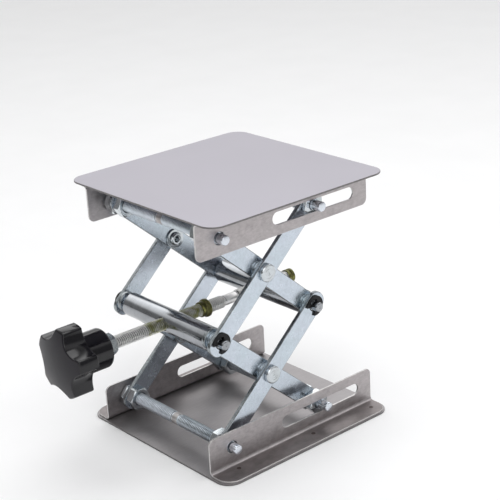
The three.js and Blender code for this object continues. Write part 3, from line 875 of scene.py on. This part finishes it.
def add_nut(node, centre, bore, twist):
    """A hexagon nut that fills its CAD box, turned by a twist about its rod."""
    low, high = box(node)
    place = Vector((0, centre.y, centre.z))
    rings = nut_rings("X", low.x, high.x, place, NUT_ACROSS_FLATS, bore, twist)
    mesh = loft(node, rings, closed=True, sharp_angle=NUT_SHARP_ANGLE)
    soften(show(node, mesh, nut_zinc), NUT_BEVEL, NUT_SHARP_ANGLE)


def soften(piece, width, angle):
    """Rounds a piece's sharp edges by a small bevel."""
    bevel = piece.modifiers.new("edges", "BEVEL")
    bevel.width = width * MM
    bevel.segments = 2
    bevel.limit_method = "ANGLE"
    bevel.angle_limit = angle


def add_rods():
    """The four rods, each with an inner and an outer nut at both ends."""
    rods = {
        "base_front": lower_front, "base_rear": lower_rear,
        "top_front": upper_front, "top_rear": upper_rear,
    }
    bores = {"inner": ROD_RADIUS, "outer": ROD_JOURNAL_RADIUS}
    for number, (name, centre) in enumerate(rods.items()):
        add_rod(f"{name}_rod", box(f"{name}_inner_nut_right")[1].x, centre)
        for place, radius in bores.items():
            for side, sign in SIDES.items():
                twist = math.radians(4 * number + (3 if place == "inner" else 7) * sign)
                add_nut(f"{name}_{place}_nut_{side}", centre, radius + NUT_BORE_CLEARANCE, twist)


# ---------- cross shafts and clips ----------


def add_shaft(name, centre):
    """A cross shaft with a flared screw hole, and its spacers and clips."""
    node = f"{name}_cross_shaft"
    place = Vector((0, centre.y, centre.z))
    end_x = box(node)[1].x
    clip_low, clip_high = box(f"{name}_shaft_clip_right")
    half = [
        (SHAFT_HALF_LENGTH - SHAFT_CHAMFER, SHAFT_RADIUS),
        (SHAFT_HALF_LENGTH, SHAFT_RADIUS - SHAFT_CHAMFER),
        (SHAFT_HALF_LENGTH, JOURNAL_RADIUS), (clip_low.x - 0.05, JOURNAL_RADIUS),
        (clip_low.x - 0.05, GROOVE_RADIUS), (clip_high.x + 0.05, GROOVE_RADIUS),
        (clip_high.x + 0.05, JOURNAL_TIP_RADIUS), (end_x - 0.5, JOURNAL_TIP_RADIUS),
        (end_x - 0.1, JOURNAL_TIP_RADIUS - 0.35), (end_x, JOURNAL_TIP_RADIUS - 0.7),
        (end_x, 0.45), (end_x - 0.25, 0.3), (end_x - 0.27, 0),
    ]
    profile = [(-along, radius) for along, radius in half[::-1]] + half
    bar = turned(node, profile, place, steps=96)
    reach, flare_start = SHAFT_RADIUS + 1, SHAFT_RADIUS - SCREW_HOLE_FLARE
    flare_radius = SCREW_HOLE_RADIUS + reach - flare_start
    drill = turned("drill", [
        (-reach, 0), (-reach, flare_radius), (-flare_start, SCREW_HOLE_RADIUS),
        (flare_start, SCREW_HOLE_RADIUS), (reach, flare_radius), (reach, 0),
    ], place, axis="Y", steps=64)
    show(node, drilled(bar, drill), bright_shaft)
    for side in SIDES:
        add_washer(f"{name}_shaft_spacer_{side}", centre)
        add_clip(f"{name}_shaft_clip_{side}", centre)


def drilled(bar_mesh, drill_mesh):
    """The bar's mesh with the drill's volume cut away."""
    bar = bpy.data.objects.new("bar", bar_mesh)
    drill = bpy.data.objects.new("drill", drill_mesh)
    for item in (bar, drill):
        bpy.context.scene.collection.objects.link(item)
    cut = bar.modifiers.new("hole", "BOOLEAN")
    cut.operation = "DIFFERENCE"
    cut.solver = "EXACT"
    cut.object = drill
    bpy.context.view_layer.update()
    evaluated = bar.evaluated_get(bpy.context.evaluated_depsgraph_get())
    mesh = bpy.data.meshes.new_from_object(evaluated)
    for item in (bar, drill):
        bpy.data.objects.remove(item)
    mesh.set_sharp_from_angle(angle=math.radians(38))
    return mesh


def clip_outline():
    """An E-clip in its own plane: mouth at angle 0, three prongs on the groove."""
    grip = GROOVE_RADIUS + 0.08
    prong_end = TURN - CLIP_MOUTH
    points = arc(0, 0, CLIP_RADIUS, CLIP_MOUTH, prong_end, 48)
    for start, end in (
        (math.pi + CLIP_PRONG, TURN - CLIP_MOUTH - CLIP_PRONG),
        (CLIP_MOUTH + CLIP_PRONG, math.pi - CLIP_PRONG),
    ):
        points += arc(0, 0, grip, prong_end, end, 8)
        points += arc(0, 0, CLIP_RECESS_RADIUS, end - CLIP_EASE, start + CLIP_EASE, 16)
        prong_end = start
    points += arc(0, 0, grip, prong_end, CLIP_MOUTH, 8)
    return points


def add_clip(node, centre):
    """An E-clip in its groove."""
    low, high = box(node)
    turn = Matrix.Rotation(CLIP_OPENING, 2)

    def place(p):
        spot = turn @ Vector((p.x, p.y))
        return Vector((low.x + p.z, centre.y + spot.x, centre.z + spot.y))

    mesh = sheet(node, clip_outline(), [], high.x - low.x, CLIP_EDGE, place)
    show(node, mesh, clip_black)


# ---------- lift screw, stops and knob ----------


def add_screw():
    """The screw: right-hand thread towards the knob, left-hand thread at the rear.

    Known fault: the way that the record turns the knob needs the opposite hands.
    """
    low, high = box("lift_screw")
    place = Vector((0, 0, front_middle.z))
    form = (SCREW_RADIUS, SCREW_CORE_RADIUS, SCREW_PITCH)
    plain_radius = SCREW_CORE_RADIUS + 0.05
    mesh = threaded_bar("lift_screw", place, "Y", [
        [(low.y, 0), (low.y, SCREW_CORE_RADIUS)],
        (SCREW_NUT_FRONT_Y, SCREW_PLAIN_FRONT_Y, *form, -1),
        [(SCREW_PLAIN_FRONT_Y + 0.2, plain_radius), (SCREW_PLAIN_REAR_Y - 0.2, plain_radius)],
        (SCREW_PLAIN_REAR_Y, high.y - 0.5, *form, 1),
        [(high.y, SCREW_CORE_RADIUS - 0.3), (high.y, 0)],
    ])
    show("lift_screw", mesh, screw_zinc, thread_root_shadow)
    nut = loft("screw_nut", nut_rings(
        "Y", SCREW_NUT_FRONT_Y, SCREW_NUT_REAR_Y, place, SCREW_NUT_ACROSS_FLATS,
        SCREW_RADIUS + 0.05, SCREW_NUT_ANGLE,
    ), closed=True, sharp_angle=NUT_SHARP_ANGLE)
    soften(attach(nut, "lift_screw", nut_zinc), NUT_BEVEL, NUT_SHARP_ANGLE)


def add_stops():
    """The flanged collar between the shafts and the ring near the screw's rear end."""
    place = Vector((0, 0, front_middle.z))
    bore = SCREW_RADIUS + 0.08
    low, high = box("stop_collar")
    rim = low.y + COLLAR_HUB_LENGTH
    collar = [
        (low.y, bore), (low.y, COLLAR_HUB_RADIUS - 0.35), (low.y + 0.35, COLLAR_HUB_RADIUS),
        (rim, COLLAR_HUB_RADIUS), (rim + 0.3, COLLAR_FLANGE_RADIUS - 0.25),
        (rim + 0.7, COLLAR_FLANGE_RADIUS), (high.y - 0.5, COLLAR_FLANGE_RADIUS),
        (high.y, COLLAR_FLANGE_RADIUS - 0.5), (high.y, bore),
    ]
    mesh = turned("stop_collar", collar, place, "Y", closed=True, fillet=0.18)
    show("stop_collar", mesh, chromate)
    low, high = box("screw_end_stop")
    middle = (low.y + high.y) / 2
    end_ring = [
        (low.y, bore), (low.y, END_STOP_RADIUS), (middle - 0.35, END_STOP_RADIUS),
        (middle - 0.25, END_STOP_RADIUS - 0.3), (middle + 0.25, END_STOP_RADIUS - 0.3),
        (middle + 0.35, END_STOP_RADIUS), (high.y, END_STOP_RADIUS), (high.y, bore),
    ]
    mesh = turned("screw_end_stop", end_ring, place, "Y", closed=True, fillet=0.3)
    show("screw_end_stop", mesh, chromate)


def knob_outline():
    """The lobed outline: blunt tips on arcs, joined by curved valleys."""
    tip = math.asin(KNOB_TIP_HALF_WIDTH / KNOB_TIP_RADIUS)
    pitch = TURN / KNOB_LOBES
    curve = []
    for lobe in range(KNOB_LOBES):
        angle = KNOB_LOBE_ANGLE + lobe * pitch
        start, middle, end = (
            Vector((math.cos(turn), math.sin(turn))) * radius
            for turn, radius in (
                (angle + tip, KNOB_TIP_RADIUS),
                (angle + pitch / 2, KNOB_VALLEY_RADIUS),
                (angle + pitch - tip, KNOB_TIP_RADIUS),
            )
        )
        curve += arc(0, 0, KNOB_TIP_RADIUS, angle - tip, angle + tip, KNOB_TIP_STEPS)[:-1]
        for i in range(KNOB_VALLEY_STEPS):
            t = i / KNOB_VALLEY_STEPS
            curve.append(start * (1 - t) ** 2 + middle * 2 * t * (1 - t) + end * t**2)
    return curve


def smoothed(loop, passes):
    """A closed loop with its corners eased."""
    for _ in range(passes):
        count = len(loop)
        loop = [(loop[i - 1] + loop[i] * 2 + loop[(i + 1) % count]) / 4 for i in range(count)]
    return loop


def add_knob():
    """The star knob: a domed lobed face, straight sides and a round hub."""
    low, high = box("knob")
    outline = smoothed(knob_outline(), KNOB_SMOOTHING)
    ways = [outward(outline, i) for i in range(len(outline))]
    centre_z = front_middle.z

    def dome(point):
        """Where the domed face stands at a point of the outline's plane."""
        return low.y + KNOB_FACE_RADIUS - math.sqrt(KNOB_FACE_RADIUS**2 - point.length_squared)

    def face_ring(inset, behind, share=1.0):
        points = [(p - way * inset) * share for p, way in zip(outline, ways)]
        return [Vector((p.x, dome(p) + behind, centre_z + p.y)) for p in points]

    def side_ring(y, inset):
        points = [p - way * inset for p, way in zip(outline, ways)]
        return [Vector((p.x, y, centre_z + p.y)) for p in points]

    def round_ring(y, radius):
        return [
            Vector((p.x / p.length * radius, y, centre_z + p.y / p.length * radius))
            for p in outline
        ]

    rings = [[Vector((0, low.y, centre_z))]]
    for share in (0.15, 0.3, 0.45, 0.6, 0.75, 0.88, 0.96):
        rings.append(face_ring(KNOB_EDGE, 0, share))
    for i in range(KNOB_EDGE_STEPS + 1):
        turn = QUARTER * i / KNOB_EDGE_STEPS
        rings.append(face_ring(KNOB_EDGE * (1 - math.sin(turn)), KNOB_EDGE * (1 - math.cos(turn))))
    for i in range(KNOB_EDGE_STEPS + 1):
        turn = QUARTER * (1 - i / KNOB_EDGE_STEPS)
        rear = KNOB_STAR_REAR_Y - KNOB_EDGE * (1 - math.cos(turn))
        rings.append(side_ring(rear, KNOB_EDGE * (1 - math.sin(turn))))
    for y, radius in filleted([
        (KNOB_STAR_REAR_Y, KNOB_HUB_RADIUS + 0.4), (KNOB_STAR_REAR_Y + 0.3, KNOB_HUB_RADIUS),
        (high.y - 1.0, KNOB_HUB_RADIUS), (high.y - 0.25, KNOB_HUB_RADIUS - 0.35),
        (high.y, KNOB_HUB_RADIUS - 1.1), (high.y, KNOB_BORE_RADIUS),
    ], 0.4):
        rings.append(round_ring(y, radius))
    bore_end = box("lift_screw")[0].y - 0.25
    rings.append(round_ring(bore_end, KNOB_BORE_RADIUS))
    rings.append([Vector((0, bore_end, centre_z))])
    mesh = loft("knob", rings, sharp_angle=math.radians(60))
    # Faces turned to the front take the lighter plastic and the rest the darker one: painted light
    # and shade.
    for polygon in mesh.polygons:
        if polygon.normal.y < -0.9:
            polygon.material_index = 1
    show("knob", mesh, shaded_gloss_plastic, lit_face_plastic)


# ---------- the whole jack ----------

add_plates()
add_arms("lower_outer_arm", lower_front, rear_middle)
add_arms("lower_inner_arm", lower_rear, front_middle)
add_arms("upper_outer_arm", front_middle, upper_rear)
add_arms("upper_inner_arm", rear_middle, upper_front)
add_rivets("lower", lower_cross)
add_rivets("upper", upper_cross)
add_rods()
add_shaft("front", front_middle)
add_shaft("rear", rear_middle)
add_screw()
add_stops()
add_knob()

# ---------- camera ----------

CAMERA_AZIMUTH = math.radians(49.83)
CAMERA_ELEVATION = math.radians(20.86)
CAMERA_ROLL = math.radians(-3.11)
CAMERA_DISTANCE = 641.9
CAMERA_AIM = Vector((0, 11.74, 79.62))
CAMERA_LENS = 99.62


def add_camera():
    """The camera, placed by direction, distance and roll about its aim."""
    level = math.cos(CAMERA_ELEVATION)
    back = Vector((
        math.sin(CAMERA_AZIMUTH) * level, -math.cos(CAMERA_AZIMUTH) * level,
        math.sin(CAMERA_ELEVATION),
    ))
    right = Vector((math.cos(CAMERA_AZIMUTH), math.sin(CAMERA_AZIMUTH), 0))
    right.rotate(Matrix.Rotation(CAMERA_ROLL, 3, back))
    up = back.cross(right)
    camera = bpy.data.objects.new("camera", bpy.data.cameras.new("camera"))
    camera.data.lens = CAMERA_LENS
    camera.data.sensor_width = 36
    camera.data.clip_start = 0.01
    camera.data.dof.use_dof = False
    turn = Matrix((right, up, back)).transposed().to_4x4()
    camera.matrix_world = Matrix.Translation((CAMERA_AIM + back * CAMERA_DISTANCE) * MM) @ turn
    bpy.context.scene.collection.objects.link(camera)
    bpy.context.scene.camera = camera


# ---------- stage and light ----------

# The sky's brightness at the sines of some elevations, from the horizon to overhead.
SKY = ((0.0, 0.3), (0.4, 0.32), (0.52, 1.0), (0.7, 1.0), (0.85, 0.2), (1.0, 0.15))
SKY_STRENGTH = 2.35
# The level direction of the bright backdrop, and how dim the sky is on the side away from it.
BACKDROP = (-0.64, 0.77, 0)
FAR_SIDE_DIMMING = 0.35
# Each light's place and size in millimetres, and its power in watts.
LIGHTS = {
    "overhead": ((100, 0, 1100), (900, 900), 6.5),
    "right": ((1200, -300, 500), (700, 900), 2.8),
}
LIGHT_AIM = Vector((0, 0, 60))
FLOOR_HALF_SIZE = 6000
FLOOR_DROP = 0.02


def add_floor():
    """A pale paper floor just under the base."""
    recipe = Recipe("pale_floor", Specular_IOR_Level=0.2)
    paper = recipe.noise((0.02, 0.02, 0.02), detail=5.0)
    colour = recipe.ramp(paper, (0.3, (0.92, 0.92, 0.925)), (0.7, (0.94, 0.94, 0.945)))
    recipe.surface(colour, recipe.span(paper, 0.7, 0.8), paper, 0.02, 0.1)
    shape = bmesh.new()
    bmesh.ops.create_grid(shape, x_segments=8, y_segments=8, size=FLOOR_HALF_SIZE)
    mesh = to_mesh("floor", shape)
    mesh.materials.append(recipe.material)
    floor = bpy.data.objects.new("floor", mesh)
    floor.location.z = -FLOOR_DROP * MM
    bpy.context.scene.collection.objects.link(floor)


def add_light(name, spot, size, energy):
    """A soft white rectangular light, turned to face the jack."""
    light = bpy.data.lights.new(name, "AREA")
    light.shape = "RECTANGLE"
    light.size, light.size_y = (length * MM for length in size)
    light.energy = energy
    lamp = bpy.data.objects.new(name, light)
    lamp.location = Vector(spot) * MM
    lamp.rotation_mode = "QUATERNION"
    lamp.rotation_quaternion = (LIGHT_AIM - Vector(spot)).to_track_quat("-Z", "Y")
    bpy.context.scene.collection.objects.link(lamp)


def add_world():
    """A studio: a bright band above a grey horizon, a darker ceiling and a bright backdrop."""
    world = bpy.data.worlds.new("studio")
    world.use_nodes = True
    nodes, links = world.node_tree.nodes, world.node_tree.links
    split = nodes.new("ShaderNodeSeparateXYZ")
    coordinates = nodes.new("ShaderNodeTexCoord").outputs["Generated"]
    links.new(coordinates, split.inputs["Vector"])
    ramp = nodes.new("ShaderNodeValToRGB")
    links.new(split.outputs["Z"], ramp.inputs["Fac"])
    elements = ramp.color_ramp.elements
    while len(elements) < len(SKY):
        elements.new(0.5)
    for element, (height, brightness) in zip(elements, SKY):
        element.position = height
        element.color = (brightness, brightness, brightness, 1.0)
    side = nodes.new("ShaderNodeVectorMath")
    side.operation = "DOT_PRODUCT"
    links.new(coordinates, side.inputs[0])
    side.inputs[1].default_value = BACKDROP
    share = nodes.new("ShaderNodeMapRange")
    links.new(side.outputs["Value"], share.inputs["Value"])
    for socket, value in {
        "From Min": 0.1, "From Max": 0.7, "To Min": FAR_SIDE_DIMMING, "To Max": 1.0,
    }.items():
        share.inputs[socket].default_value = value
    dimmed = nodes.new("ShaderNodeMix")
    dimmed.data_type = "RGBA"
    dimmed.blend_type = "MULTIPLY"
    dimmed.inputs["Factor"].default_value = 1.0
    links.new(ramp.outputs["Color"], dimmed.inputs[6])
    links.new(share.outputs["Result"], dimmed.inputs[7])
    background = nodes["Background"]
    links.new(dimmed.outputs[2], background.inputs["Color"])
    background.inputs["Strength"].default_value = SKY_STRENGTH
    bpy.context.scene.world = world


add_camera()
add_floor()
add_world()
for lamp_name, placing in LIGHTS.items():
    add_light(lamp_name, *placing)
bpy.context.scene.view_settings.view_transform = "Standard"
